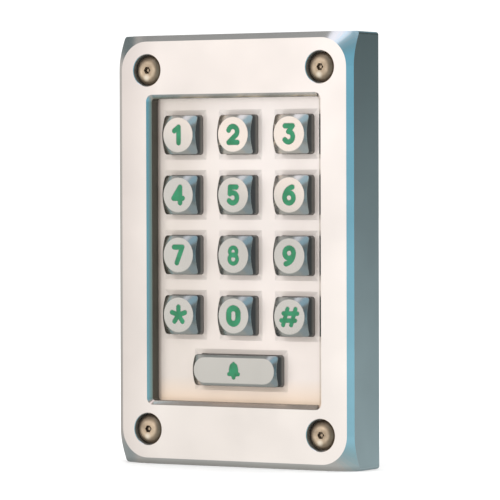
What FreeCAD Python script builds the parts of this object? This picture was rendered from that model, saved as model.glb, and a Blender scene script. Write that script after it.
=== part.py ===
"""Keypad access reader: a sealed metal code keypad for a door, as a parametric FreeCAD document.

Frame: millimetres, +Z up, the front faces -Y and the wall is the plane y = 0. The origin is the
centre of the back plate's rear face. "Stand-off" means the distance in front of the wall, so a
stand-off of 15 is the plane y = -15.
"""
import FreeCAD, Part
import math
import os
import Sketcher
from FreeCAD import Placement, Rotation, Vector

# ---------------------------------------------------------------- driving dimensions

SIZES = {
    # front housing: a die-cast metal shell
    "housing_width": 76.0,
    "housing_height": 120.0,
    "housing_depth": 15.0,
    "housing_edge_radius": 0.8,
    "face_inset": 1.67,
    "face_corner_radius": 8.0,
    "bevel_angle": 51.5,
    "bevel_reach": 4.8,
    "window_width": 54.3,
    "window_height": 84.6,
    "window_radius": 0.8,
    "window_chamfer": 1.15,
    "wall_thickness": 3.0,
    "cavity_radius": 4.0,
    "front_thickness": 4.4,
    # corner bosses and the security screws that close the housing
    "screw_x": 28.0,
    "screw_z": 50.3,
    "boss_radius": 5.2,
    "counterbore_radius": 4.45,
    "counterbore_chamfer": 0.15,
    "counterbore_depth": 2.6,
    "screw_seal_thickness": 0.4,
    "screw_head_radius": 4.2,
    "screw_head_height": 2.0,
    "screw_land_radius": 1.9,
    "screw_rim_height": 0.45,
    "screw_shank_radius": 1.95,
    "screw_hole_radius": 2.3,
    "socket_across_flats": 1.9,
    "socket_depth": 1.3,
    "socket_pin_radius": 0.35,
    "socket_pin_drop": 0.5,
    "insert_collar_radius": 3.4,
    "insert_neck_radius": 2.9,
    "insert_collar_height": 2.0,
    "insert_bore_radius": 2.0,
    "fit_gap": 0.1,
    # keypad panel: the flat plate that the keys stand in
    "panel_width": 65.0,
    "panel_height": 89.2,
    "panel_thickness": 2.0,
    "panel_radius": 2.0,
    "seal_width": 0.9,
    "seal_depth": 0.8,
    "seal_offset": 0.6,
    # key grid
    "column_pitch": 18.0,
    "row_pitch": 16.75,
    "first_row_z": 32.1,
    "bell_key_z": -33.35,
    "well_size": 13.9,
    "well_depth": 0.5,
    "well_angle": 70.35,
    "well_hole": 11.1,
    "bell_well_width": 30.2,
    "bell_well_height": 11.6,
    "bell_hole_width": 27.4,
    "bell_hole_height": 8.85,
    # keys
    "key_recess": 0.4,
    "key_size": 10.9,
    "key_radius": 0.9,
    "key_face_radius": 4.81,
    "key_bevel_angle": 55.8,
    "key_bevel_reach": 1.9,
    "bell_key_width": 27.2,
    "bell_key_height": 8.6,
    "bell_face_width": 26.0,
    "bell_face_height": 7.06,
    "key_flange": 12.7,
    "bell_flange_width": 29.0,
    "bell_flange_height": 10.4,
    "flange_thickness": 0.9,
    "flange_gap": 0.05,
    "key_hollow": 7.6,
    "bell_hollow_width": 22.8,
    "bell_hollow_height": 4.8,
    "key_floor": 1.6,
    "legend_depth": 0.6,
    "legend_half_height": 2.2,
    "legend_stroke": 1.4,
    "light_post_radius": 0.35,
    # electronics stack
    "mat_thickness": 0.8,
    "mat_width": 52.0,
    "mat_height": 80.0,
    "dome_radius": 4.0,
    "dome_angle": 31.0,
    "dome_wall": 0.75,
    "dome_tip_radius": 1.5,
    "dome_tip_gap": 0.85,
    "bell_dome_x": 8.0,
    "board_width": 64.0,
    "board_height": 87.0,
    "board_thickness": 1.6,
    "board_radius": 2.0,
    "board_gap": 3.4,
    "standoff_x": 30.0,
    "standoff_z": 40.0,
    "standoff_across_flats": 4.0,
    "standoff_stud_radius": 1.2,
    "standoff_stud_length": 4.9,
    "standoff_bore_radius": 1.05,
    "standoff_bore_depth": 2.6,
    "board_screw_radius": 1.0,
    "board_screw_length": 3.9,
    "board_screw_head_radius": 2.1,
    "board_screw_head_height": 1.3,
    "pad_radius": 2.4,
    "pad_gap": 0.5,
    "pad_thickness": 0.1,
    "led_width": 1.6,
    "led_height": 0.9,
    "led_thickness": 0.65,
    "led_window_radius": 1.2,
    # parts on the rear of the board
    "lead_width": 0.4,
    "lead_length": 1.0,
    "lead_thickness": 0.25,
    "capacitor_width": 3.5,
    "capacitor_height": 2.8,
    "capacitor_thickness": 1.8,
    "capacitor_x": -14.5,
    "capacitor_z": 24.0,
    "capacitor_pitch": 7.0,
    "crystal_width": 5.0,
    "crystal_height": 3.2,
    "crystal_thickness": 1.1,
    "crystal_x": 15.0,
    "crystal_z": 22.0,
    "sounder_x": 16.0,
    "sounder_z": -29.0,
    "sounder_radius": 6.0,
    "sounder_thickness": 0.25,
    "sounder_disc_radius": 4.5,
    "sounder_disc_thickness": 0.2,
    # back plate, wall seal and wall fixings
    "plate_thickness": 1.5,
    "plate_gap": 0.25,
    "wall_fixing_spacing": 83.3,
    "wall_fixing_radius": 2.15,
    "wall_seal_width": 1.4,
    "wall_seal_depth": 1.0,
    # cable
    "cable_z": -20.0,
    "cable_radius": 2.75,
    "jacket_thickness": 0.4,
    "jacket_length": 32.0,
    "grommet_hole_radius": 4.0,
    "grommet_flange_radius": 5.2,
    "grommet_flange_thickness": 0.8,
    "conductor_radius": 0.5,
    "conductor_ring_radius": 1.65,
    "conductor_flare_radius": 14.0,
    "conductor_flare_angle": 28.0,
    "conductor_tail": 4.0,
    # wall tamper switch
    "tamper_x": -18.0,
    "tamper_z": -30.0,
    "tamper_size": 6.4,
    "tamper_height": 1.85,
    "tamper_wall": 0.4,
    "plunger_radius": 1.5,
    "plunger_flange_radius": 2.2,
    "plunger_flange_thickness": 0.3,
    "plunger_gap": 0.05,
}

# Stand-offs of the layers, worked out from the driving dimensions above.
LAYERS = {
    "ledge": "sizes.housing_depth - sizes.front_thickness",
    "panel_back": "layers.ledge - sizes.panel_thickness",
    "key_face": "sizes.housing_depth - sizes.key_recess",
    "flange_front": "layers.panel_back - sizes.flange_gap",
    "flange_back": "layers.flange_front - sizes.flange_thickness",
    "key_ceiling": "layers.key_face - sizes.key_floor",
    "board_front": "layers.panel_back - sizes.board_gap",
    "board_back": "layers.board_front - sizes.board_thickness",
    "mat_front": "layers.board_front + sizes.mat_thickness",
    "dome_height": "layers.flange_back - layers.mat_front - sizes.flange_gap",
    "dome_ceiling": "layers.flange_back - sizes.flange_gap - sizes.dome_wall",
    "counterbore_floor": "sizes.housing_depth - sizes.counterbore_depth",
    "screw_seat": "layers.counterbore_floor + sizes.screw_seal_thickness",
    "cavity_width": "sizes.housing_width - 2 * sizes.wall_thickness",
    "cavity_height": "sizes.housing_height - 2 * sizes.wall_thickness",
}

COLUMNS = (-1, 0, 1)
ROWS = (0, 1, 2, 3)
KEY_NAMES = (("1", "2", "3"), ("4", "5", "6"), ("7", "8", "9"), ("star", "0", "hash"))
CORNERS = ((1, 1), (-1, 1), (-1, -1), (1, -1))
OUTWARD = Rotation(Vector(1, 0, 0), 90)
CONDUCTORS = 8

doc = FreeCAD.newDocument("keypad_access_reader")


def add_sheet(name, cells):
    """Make a spreadsheet with one named cell for each entry."""
    sheet = doc.addObject("Spreadsheet::Sheet", name)
    for row, (alias, content) in enumerate(cells.items(), start=1):
        text = str(content) if isinstance(content, float) else "=" + content
        sheet.set(f"A{row}", alias)
        sheet.setAlias(f"B{row}", alias)
        sheet.set(f"B{row}", text)
    doc.recompute()
    return sheet


sizes = add_sheet("sizes", SIZES)
layers = add_sheet("layers", LAYERS)


def value(expression):
    """Work out an expression in millimetres or degrees."""
    return float(sizes.evalExpression(expression))


# ---------------------------------------------------------------- sketches

def wall_sketch(body, name, stand_off):
    """Make a sketch parallel to the wall: its x is X and its y is Z."""
    sketch = body.newObject("Sketcher::SketchObject", name)
    plane = [part for part in body.Origin.OriginFeatures if part.Role == "XZ_Plane"][0]
    sketch.AttachmentSupport = (plane, [""])
    sketch.MapMode = "FlatFace"
    sketch.setExpression("AttachmentOffset.Base.z", stand_off)
    return sketch


def bind_constraint(sketch, name, constraint, expression):
    """Add a constraint and let it follow an expression."""
    index = sketch.addConstraint(constraint)
    sketch.renameConstraint(index, name)
    sketch.setExpression("Constraints." + name, expression)


def place_point(sketch, name, geometry, point, x, z):
    """Hold a point of the sketch at x, z."""
    for axis, expression in (("X", x), ("Y", z)):
        distance = Sketcher.Constraint("Distance" + axis, -1, 1, geometry, point, value(expression))
        bind_constraint(sketch, f"{name}_{axis}", distance, expression)


def circle(radius, x="0", z="0"):
    """Describe a circle."""
    def draw(sketch):
        index = sketch.GeometryCount
        centre = Vector(value(x), value(z), 0)
        sketch.addGeometry(Part.Circle(centre, Vector(0, 0, 1), value(radius)))
        place_point(sketch, f"centre_{index}", index, 3, x, z)
        size = Sketcher.Constraint("Radius", index, value(radius))
        bind_constraint(sketch, f"radius_{index}", size, radius)
    return draw


def rectangle(width, height, x="0", z="0"):
    """Describe a rectangle with sharp corners."""
    def draw(sketch):
        first = sketch.GeometryCount
        spots = []
        for side_x, side_z in CORNERS:
            spot_x = f"({x}) + {side_x} * ({width}) / 2"
            spot_z = f"({z}) + {side_z} * ({height}) / 2"
            spots.append((spot_x, spot_z))
        points = [Vector(value(spot_x), value(spot_z), 0) for spot_x, spot_z in spots]
        for index in range(4):
            sketch.addGeometry(Part.LineSegment(points[index], points[(index + 1) % 4]))
        for index in range(4):
            following = first + (index + 1) % 4
            sketch.addConstraint(Sketcher.Constraint("Coincident", first + index, 2, following, 1))
        for index, (spot_x, spot_z) in enumerate(spots):
            place_point(sketch, f"corner_{first + index}", first + index, 1, spot_x, spot_z)
    return draw


def rounded_rectangle(width, height, radius, x="0", z="0"):
    """Describe a rectangle with round corners."""
    def draw(sketch):
        first = sketch.GeometryCount
        corner_radius = value(radius)
        spots = []
        for side_x, side_z in CORNERS:
            spot_x = f"({x}) + {side_x} * (({width}) / 2 - ({radius}))"
            spot_z = f"({z}) + {side_z} * (({height}) / 2 - ({radius}))"
            spots.append((spot_x, spot_z))
        for index, (spot_x, spot_z) in enumerate(spots):
            centre = Vector(value(spot_x), value(spot_z), 0)
            start = index * math.pi / 2
            whole = Part.Circle(centre, Vector(0, 0, 1), corner_radius)
            sketch.addGeometry(Part.ArcOfCircle(whole, start, start + math.pi / 2))
        arcs = [sketch.Geometry[first + index] for index in range(4)]
        for index in range(4):
            sketch.addGeometry(Part.LineSegment(arcs[index].EndPoint, arcs[(index + 1) % 4].StartPoint))
        for index in range(4):
            arc, line, next_arc = first + index, first + 4 + index, first + (index + 1) % 4
            sketch.addConstraint(Sketcher.Constraint("Tangent", arc, 2, line, 1))
            sketch.addConstraint(Sketcher.Constraint("Tangent", line, 2, next_arc, 1))
        for index, (spot_x, spot_z) in enumerate(spots):
            place_point(sketch, f"corner_{first + index}", first + index, 3, spot_x, spot_z)
            size = Sketcher.Constraint("Radius", first + index, corner_radius)
            bind_constraint(sketch, f"radius_{first + index}", size, radius)
    return draw


def hexagon(across_flats):
    """Describe a hexagon about the sketch's own origin."""
    def draw(sketch):
        first = sketch.GeometryCount
        spots = []
        for index in range(6):
            angle = f"({60 * index} deg)"
            reach = f"({across_flats}) / sqrt(3)"
            spots.append((f"{reach} * cos{angle}", f"{reach} * sin{angle}"))
        points = [Vector(value(spot_x), value(spot_z), 0) for spot_x, spot_z in spots]
        for index in range(6):
            sketch.addGeometry(Part.LineSegment(points[index], points[(index + 1) % 6]))
        for index in range(6):
            following = first + (index + 1) % 6
            sketch.addConstraint(Sketcher.Constraint("Coincident", first + index, 2, following, 1))
        for index, (spot_x, spot_z) in enumerate(spots):
            place_point(sketch, f"corner_{first + index}", first + index, 1, spot_x, spot_z)
    return draw


# ---------------------------------------------------------------- features

def new_body(name, x="0", z="0"):
    """Make an empty body whose own origin stands at x, z on the wall."""
    body = doc.addObject("PartDesign::Body", name)
    body.setExpression("Placement.Base.x", x)
    body.setExpression("Placement.Base.z", z)
    return body


def pad(body, name, stand_off, length, outlines, taper=None):
    """Raise outlines outward, away from the wall; a taper narrows them as they rise."""
    sketch = wall_sketch(body, name + "_sketch", stand_off)
    for draw in outlines:
        draw(sketch)
    feature = body.newObject("PartDesign::Pad", name)
    feature.Profile = sketch
    feature.setExpression("Length", length)
    if taper:
        feature.setExpression("TaperAngle", taper)
    doc.recompute()
    return feature


def pocket(body, name, stand_off, depth, outlines, taper=None, outward=False):
    """Cut outlines into the body, toward the wall, or outward when asked."""
    sketch = wall_sketch(body, name + "_sketch", stand_off)
    for draw in outlines:
        draw(sketch)
    feature = body.newObject("PartDesign::Pocket", name)
    feature.Profile = sketch
    feature.Reversed = outward
    feature.setExpression("Length", depth)
    if taper:
        feature.setExpression("TaperAngle", taper)
    doc.recompute()
    return feature


def repeat(body, name, features, sketch, steps_x, steps_z):
    """Repeat features over a grid: each step is (count, pitch, toward the negative side)."""
    grid = body.newObject("PartDesign::MultiTransform", name)
    transforms = []
    for axis, (count, pitch, backward) in (("H_Axis", steps_x), ("V_Axis", steps_z)):
        pattern = body.newObject("PartDesign::LinearPattern", name + "_" + axis)
        pattern.Direction = (sketch, [axis])
        pattern.Mode = "Spacing"
        pattern.Reversed = backward
        pattern.Occurrences = count
        pattern.setExpression("Offset", pitch)
        transforms.append(pattern)
    grid.Originals = features
    grid.Transformations = transforms
    body.Tip = grid
    doc.recompute()
    return grid


def cylinder(name, radius, length, stand_off, x="0", z="0"):
    """Make a cylinder that starts at a stand-off and rises outward."""
    shape = doc.addObject("Part::Cylinder", name)
    shape.Placement = Placement(Vector(), OUTWARD)
    shape.setExpression("Radius", radius)
    shape.setExpression("Height", length)
    place(shape, x, stand_off, z)
    return shape


def box(name, width, thickness, height, stand_off, x="0", z="0"):
    """Make a box centred on x, z that starts at a stand-off and rises outward."""
    shape = doc.addObject("Part::Box", name)
    shape.Placement = Placement(Vector(), OUTWARD)
    shape.setExpression("Length", width)
    shape.setExpression("Width", height)
    shape.setExpression("Height", thickness)
    place(shape, f"({x}) - ({width}) / 2", stand_off, f"({z}) - ({height}) / 2")
    return shape


def place(shape, x, stand_off, z):
    """Bind the position of a shape."""
    shape.setExpression("Placement.Base.x", x)
    shape.setExpression("Placement.Base.y", f"-({stand_off})")
    shape.setExpression("Placement.Base.z", z)


def fuse(name, shapes):
    """Join shapes that touch into one."""
    joined = doc.addObject("Part::MultiFuse", name)
    joined.Shapes = shapes
    joined.Refine = True
    return joined


def cut(name, base, tool):
    """Cut one shape out of another."""
    result = doc.addObject("Part::Cut", name)
    result.Base = base
    result.Tool = tool
    result.Refine = True
    return result


def group(name, shapes):
    """Keep identical pieces together as separate solids of one sub-part."""
    together = doc.addObject("Part::Compound", name)
    together.Links = shapes
    return together


def key_x(column):
    """Give the place of a key column across the reader."""
    return f"{column} * sizes.column_pitch"


def key_z(row):
    """Give the height of a key row."""
    return f"sizes.first_row_z - {row} * sizes.row_pitch"


# ---------------------------------------------------------------- housing and panel

def front_housing():
    """Make the cast shell: outer form, front bevel, window, rear cavity and screw bosses."""
    body = new_body("front_housing")
    outer = rounded_rectangle("sizes.housing_width", "sizes.housing_height", "sizes.housing_edge_radius")
    pad(body, "shell", "0", "sizes.housing_depth", [outer])
    beyond = rectangle("sizes.housing_width + 8 * sizes.bevel_reach",
                       "sizes.housing_height + 8 * sizes.bevel_reach")
    face = rounded_rectangle("sizes.housing_width - 2 * sizes.face_inset",
                             "sizes.housing_height - 2 * sizes.face_inset", "sizes.face_corner_radius")
    pocket(body, "front_bevel", "sizes.housing_depth", "sizes.bevel_reach", [beyond, face],
           taper="sizes.bevel_angle")
    cavity = rounded_rectangle("layers.cavity_width", "layers.cavity_height", "sizes.cavity_radius")
    pocket(body, "plate_recess", "0", "sizes.plate_thickness", [cavity], outward=True)
    bosses = [circle("sizes.boss_radius", f"{side_x} * sizes.screw_x", f"{side_z} * sizes.screw_z")
              for side_x, side_z in CORNERS]
    pocket(body, "cavity", "sizes.plate_thickness", "layers.ledge - sizes.plate_thickness",
           [cavity] + bosses, outward=True)
    window = rounded_rectangle("sizes.window_width", "sizes.window_height", "sizes.window_radius")
    pocket(body, "window", "sizes.housing_depth", "sizes.front_thickness", [window])
    chamfer = rounded_rectangle("sizes.window_width + 2 * sizes.window_chamfer",
                                "sizes.window_height + 2 * sizes.window_chamfer",
                                "sizes.window_radius + sizes.window_chamfer")
    pocket(body, "window_edge", "sizes.housing_depth", "sizes.window_chamfer", [chamfer], taper="-45")
    cut_screw_holes(body)
    cut_seal_grooves(body)
    return body


def cut_screw_holes(body):
    """Cut the counterbored screw holes in the bosses and the blind holes for the standoffs."""
    places = [(f"{side_x} * sizes.screw_x", f"{side_z} * sizes.screw_z") for side_x, side_z in CORNERS]
    head = [circle("sizes.counterbore_radius", x, z) for x, z in places]
    edge = [circle("sizes.counterbore_radius + sizes.counterbore_chamfer", x, z) for x, z in places]
    shank = [circle("sizes.screw_hole_radius", x, z) for x, z in places]
    collar = [circle("sizes.insert_collar_radius + 2 * sizes.fit_gap", x, z) for x, z in places]
    pocket(body, "counterbores", "sizes.housing_depth", "sizes.counterbore_depth", head)
    pocket(body, "counterbore_edges", "sizes.housing_depth", "sizes.counterbore_chamfer", edge, taper="-45")
    pocket(body, "screw_holes", "sizes.housing_depth", "sizes.housing_depth", shank)
    pocket(body, "insert_recesses", "sizes.plate_thickness",
           "sizes.insert_collar_height + 2 * sizes.fit_gap", collar, outward=True)
    studs = [circle("sizes.standoff_stud_radius + sizes.fit_gap / 2", x, z) for x, z in standoff_places()]
    pocket(body, "stud_holes", "layers.ledge",
           "sizes.standoff_stud_length - sizes.panel_thickness + sizes.fit_gap", studs, outward=True)


def cut_seal_grooves(body):
    """Cut the groove for the panel seal in the ledge and the one for the wall seal in the rear rim."""
    pocket(body, "panel_seal_groove", "layers.ledge", "sizes.seal_depth",
           seal_ring("sizes.window_width + 2 * sizes.seal_offset",
                     "sizes.window_height + 2 * sizes.seal_offset", "sizes.seal_width"), outward=True)
    pocket(body, "wall_seal_groove", "0", "sizes.wall_seal_depth", wall_seal_ring(), outward=True)


def seal_ring(width, height, band):
    """Describe the two edges of a rectangular ring, outer edge first."""
    outer = rounded_rectangle(f"{width} + 2 * {band}", f"{height} + 2 * {band}",
                              f"sizes.window_radius + {band}")
    inner = rounded_rectangle(width, height, "sizes.window_radius")
    return [outer, inner]


def wall_seal_ring():
    """Describe the wall seal, which runs along the middle of the rear rim."""
    rim = "(sizes.wall_thickness - sizes.wall_seal_width)"
    return seal_ring(f"layers.cavity_width + {rim}", f"layers.cavity_height + {rim}",
                     "sizes.wall_seal_width")


def panel_seal():
    """Make the rubber cord between the housing's ledge and the panel."""
    body = new_body("panel_seal")
    pad(body, "cord", "layers.ledge", "sizes.seal_depth",
        seal_ring("sizes.window_width + 2 * sizes.seal_offset",
                  "sizes.window_height + 2 * sizes.seal_offset", "sizes.seal_width"))


def wall_seal():
    """Make the rubber cord between the housing's rear rim and the wall."""
    body = new_body("wall_seal")
    pad(body, "cord", "0", "sizes.wall_seal_depth", wall_seal_ring())


def keypad_panel():
    """Make the panel with a bevelled well and a hole for each key."""
    body = new_body("keypad_panel")
    plate = rounded_rectangle("sizes.panel_width", "sizes.panel_height", "sizes.panel_radius")
    pad(body, "plate", "layers.panel_back", "sizes.panel_thickness", [plate])
    bell_well = rectangle("sizes.bell_well_width", "sizes.bell_well_height", z="sizes.bell_key_z")
    bell_hole = rounded_rectangle("sizes.bell_hole_width", "sizes.bell_hole_height", "sizes.key_radius",
                                  z="sizes.bell_key_z")
    pocket(body, "bell_well", "layers.ledge", "sizes.well_depth", [bell_well], taper="-sizes.well_angle")
    pocket(body, "bell_hole", "layers.ledge", "sizes.panel_thickness", [bell_hole])
    studs = [circle("sizes.standoff_stud_radius + sizes.fit_gap", x, z) for x, z in standoff_places()]
    pocket(body, "stud_holes", "layers.ledge", "sizes.panel_thickness", studs)
    well_edge = rectangle("sizes.well_size", "sizes.well_size", key_x(-1), key_z(0))
    well_hole = rounded_rectangle("sizes.well_hole", "sizes.well_hole", "sizes.key_radius",
                                  key_x(-1), key_z(0))
    well = pocket(body, "well", "layers.ledge", "sizes.well_depth", [well_edge], taper="-sizes.well_angle")
    hole = pocket(body, "key_hole", "layers.ledge", "sizes.panel_thickness", [well_hole])
    repeat_for_keys(body, [well, hole])


def repeat_for_keys(body, features):
    """Repeat the top left key's features for all twelve keys."""
    across = (len(COLUMNS), "sizes.column_pitch", False)
    down = (len(ROWS), "sizes.row_pitch", True)
    repeat(body, body.Name + "_grid", features, features[0].Profile[0], across, down)


# ---------------------------------------------------------------- legends

def bar(x_start, z_start, x_end, z_end, width=None):
    """Describe a straight stroke with round ends."""
    return ("bar", (x_start, z_start), (x_end, z_end), width)


def bend(x, z, radius, start, end, width=None):
    """Describe an arc stroke about x, z, anticlockwise from start to end in degrees."""
    return ("bend", (x, z), radius, start, end, width)


def hook(turned):
    """Describe a six, or a nine when it is turned half way round."""
    side = -1 if turned else 1
    half_turn = 180 if turned else 0
    bowl = bend(0, side * -0.36, 0.64, 0, 360)
    stem = bend(side * 0.72, side * -0.36, 1.36, 100 + half_turn, 180 + half_turn)
    return [bowl, stem]


# Stroke widths for the symbols that are bolder or slimmer than the digits. These and the strokes below
# are in units of half the legend's height, so z runs from -1 to 1.
BOLD = 0.74
SLIM = 0.50
STAR_ARM = 0.60
STAR_REACH = 1.02
HASH_BAR = 0.54

# The bell is its dome, shoulders, rim, hanger and clapper.
LEGENDS = {
    "1": [bar(-0.54, 0.52, 0.10, 1.0), bar(0.10, 1.0, 0.10, -1.0)],
    "2": [bend(0, 0.36, 0.64, -38, 165), bar(0.504, -0.034, -0.62, -1.0), bar(-0.62, -1.0, 0.66, -1.0)],
    "3": [bar(-0.56, 1.0, 0.54, 1.0), bar(0.54, 1.0, -0.06, 0.28), bend(-0.06, -0.36, 0.64, -145, 90)],
    "4": [bar(0.30, 1.0, 0.30, -1.0), bar(0.30, 1.0, -0.68, -0.42), bar(-0.68, -0.42, 0.68, -0.42)],
    "5": [bar(0.50, 1.0, -0.42, 1.0), bar(-0.42, 1.0, -0.454, 0.144), bend(-0.06, -0.36, 0.64, -145, 128)],
    "6": hook(turned=False),
    "7": [bar(-0.62, 1.0, 0.60, 1.0), bar(0.60, 1.0, -0.22, -1.0)],
    "8": [bend(0, 0.50, 0.50, 0, 360, SLIM), bend(0, -0.45, 0.57, 0, 360, SLIM)],
    "9": hook(turned=True),
    "0": [bend(0, 0.30, 0.68, 0, 180, BOLD), bend(0, -0.30, 0.68, 180, 360, BOLD),
          bar(0.68, 0.30, 0.68, -0.30, BOLD), bar(-0.68, 0.30, -0.68, -0.30, BOLD)],
    "star": [bar(0, 0, STAR_REACH * math.cos(math.radians(angle)),
                 STAR_REACH * math.sin(math.radians(angle)), STAR_ARM)
             for angle in (90, 162, 234, 306, 18)],
    "hash": [bar(-0.90, -1.0, -0.26, 1.0, HASH_BAR), bar(0.26, -1.0, 0.90, 1.0, HASH_BAR),
             bar(-1.16, -0.44, 0.84, -0.44, HASH_BAR), bar(-0.84, 0.44, 1.16, 0.44, HASH_BAR)],
    "bell": [bar(0, 0.42, 0, 0.12, 1.18), bar(0, 0.12, 0, -0.14, 1.34), bar(-0.68, -0.42, 0.68, -0.42, 0.48),
             bar(0, 0.98, 0, 0.80, 0.30), bar(0, -0.76, 0, -0.84, 0.52)],
}


def rod(x, z, radius, height):
    """Make an upright rod in the legend's own plane."""
    return Part.makeCylinder(radius, height, Vector(x, z, 0))


def bar_solid(start, end, width, height):
    """Make a straight stroke with round ends, standing on the legend's plane."""
    along = Vector(end[0] - start[0], end[1] - start[1], 0)
    ends = [rod(start[0], start[1], width / 2, height), rod(end[0], end[1], width / 2, height)]
    if along.Length == 0:
        return ends[0]
    middle = Part.makeBox(along.Length, width, height, Vector(0, -width / 2, 0))
    middle.rotate(Vector(), Vector(0, 0, 1), math.degrees(math.atan2(along.y, along.x)))
    middle.translate(Vector(start[0], start[1], 0))
    return middle.fuse(ends)


def bend_solid(centre, radius, start, end, width, height):
    """Make an arc stroke with round ends, standing on the legend's plane."""
    origin = Vector(centre[0], centre[1], 0)
    sweep = end - start
    disc = Part.makeCylinder(radius + width / 2, height, origin, Vector(0, 0, 1), sweep)
    disc.rotate(origin, Vector(0, 0, 1), start)
    ring = disc.cut(Part.makeCylinder(radius - width / 2, height, origin))
    if sweep == 360:
        return ring
    ends = []
    for angle in (math.radians(start), math.radians(end)):
        tip_x = centre[0] + radius * math.cos(angle)
        tip_z = centre[1] + radius * math.sin(angle)
        ends.append(rod(tip_x, tip_z, width / 2, height))
    return ring.fuse(ends)


def stroke_solid(stroke, scale, width, height):
    """Make one stroke of a legend in millimetres."""
    stroke_width = scale * stroke[-1] if stroke[-1] else width
    if stroke[0] == "bar":
        start = [scale * part for part in stroke[1]]
        end = [scale * part for part in stroke[2]]
        return bar_solid(start, end, stroke_width, height)
    centre = [scale * part for part in stroke[1]]
    return bend_solid(centre, scale * stroke[2], stroke[3], stroke[4], stroke_width, height)


def post_place(stroke, scale):
    """Find the point of a stroke that its light post stands under."""
    if stroke[0] == "bar":
        x = (stroke[1][0] + stroke[2][0]) / 2
        z = (stroke[1][1] + stroke[2][1]) / 2
        return scale * x, scale * z
    middle = math.radians((stroke[3] + stroke[4]) / 2)
    x = stroke[1][0] + stroke[2] * math.cos(middle)
    z = stroke[1][1] + stroke[2] * math.sin(middle)
    return scale * x, scale * z


def light_guide(name, symbol, width, height, x, z):
    """Make a key's clear insert: a plug in the hollow key, with the legend standing on thin posts."""
    scale = value("sizes.legend_half_height")
    stroke_width = value("sizes.legend_stroke")
    depth = value("sizes.legend_depth")
    floor = value("sizes.key_floor")
    plug_height = value("layers.key_ceiling - layers.flange_back")
    plug_width = value(width) - 2 * value("sizes.fit_gap")
    plug_length = value(height) - 2 * value("sizes.fit_gap")
    plug_corner = Vector(-plug_width / 2, -plug_length / 2, 0)
    plug = Part.makeBox(plug_width, plug_length, plug_height, plug_corner)
    pieces = []
    for stroke in LEGENDS[symbol]:
        raised = stroke_solid(stroke, scale, stroke_width, depth)
        raised.translate(Vector(0, 0, plug_height + floor - depth))
        post_x, post_z = post_place(stroke, scale)
        post = rod(post_x, post_z, value("sizes.light_post_radius"), floor - depth)
        post.translate(Vector(0, 0, plug_height))
        pieces += [raised, post]
    guide = doc.addObject("Part::Feature", name)
    guide.Shape = plug.fuse(pieces).removeSplitter()
    guide.Placement = Placement(Vector(), OUTWARD)
    place(guide, x, "layers.flange_back", z)
    return guide


# ---------------------------------------------------------------- keys

def key_blank(name, block, face, flange, hollow, x, z):
    """Make a hollow metal key: bevelled block, retaining flange and the space for its insert."""
    body = new_body(name, x, z)
    pad(body, "block", "layers.flange_front", "layers.key_face - layers.flange_front", [block])
    beyond = rectangle("sizes.bell_key_width + 8 * sizes.key_bevel_reach",
                       "sizes.key_size + 8 * sizes.key_bevel_reach")
    pocket(body, "bevel", "layers.key_face", "sizes.key_bevel_reach", [beyond, face],
           taper="sizes.key_bevel_angle")
    pad(body, "flange", "layers.flange_back", "sizes.flange_thickness", [flange])
    pocket(body, "hollow", "layers.flange_back", "layers.key_ceiling - layers.flange_back", [hollow],
           outward=True)
    return body


def add_key(symbol, shape, hollow_width, hollow_height, x, z):
    """Make one key and its light guide."""
    hollow = rectangle(hollow_width, hollow_height)
    blank = key_blank(f"key_{symbol}_blank", *shape, hollow, x, z)
    guide = light_guide(f"legend_{symbol}", symbol, hollow_width, hollow_height, x, z)
    cut(f"key_{symbol}", blank, guide)


def keys():
    """Make the twelve square keys and the wide bell key."""
    square = (rounded_rectangle("sizes.key_size", "sizes.key_size", "sizes.key_radius"),
              circle("sizes.key_face_radius"),
              rounded_rectangle("sizes.key_flange", "sizes.key_flange", "sizes.key_radius"))
    for row in ROWS:
        for column in COLUMNS:
            symbol = KEY_NAMES[row][column + 1]
            add_key(symbol, square, "sizes.key_hollow", "sizes.key_hollow", key_x(column), key_z(row))
    face_radius = "sizes.bell_face_height / 2 - sizes.fit_gap / 10"
    wide = (rounded_rectangle("sizes.bell_key_width", "sizes.bell_key_height", "sizes.key_radius"),
            rounded_rectangle("sizes.bell_face_width", "sizes.bell_face_height", face_radius),
            rounded_rectangle("sizes.bell_flange_width", "sizes.bell_flange_height", "sizes.key_radius"))
    add_key("bell", wide, "sizes.bell_hollow_width", "sizes.bell_hollow_height", "0", "sizes.bell_key_z")


# ---------------------------------------------------------------- electronics

def standoff_places():
    """List where the six standoffs stand."""
    return [(f"{side} * sizes.standoff_x", f"{row} * sizes.standoff_z")
            for side in (-1, 1) for row in (-1, 0, 1)]


def led_places():
    """List where the backlights stand: between the key columns, and beside the bell key."""
    between = [(f"{side} * sizes.column_pitch / 2", key_z(row)) for side in (-1, 1) for row in ROWS]
    beside = [(f"{side} * sizes.bell_dome_x * 2", "sizes.bell_key_z") for side in (-1, 1)]
    return between + beside


def bell_domes():
    """List the places of the two domes under the bell key."""
    return [(f"{side} * sizes.bell_dome_x", "sizes.bell_key_z") for side in (-1, 1)]


def silicone_mat():
    """Make the switch mat: a sheet with a hollow rubber dome and a contact tip under each key."""
    body = new_body("silicone_mat")
    sheet = rounded_rectangle("sizes.mat_width", "sizes.mat_height", "sizes.board_radius")
    pad(body, "sheet", "layers.board_front", "sizes.mat_thickness", [sheet])
    windows = [circle("sizes.led_window_radius", x, z) for x, z in led_places()]
    pocket(body, "led_windows", "layers.mat_front", "sizes.mat_thickness", windows)
    add_domes(body, "bell", bell_domes())
    features = add_domes(body, "key", [(key_x(-1), key_z(0))])
    repeat_for_keys(body, features)


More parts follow.
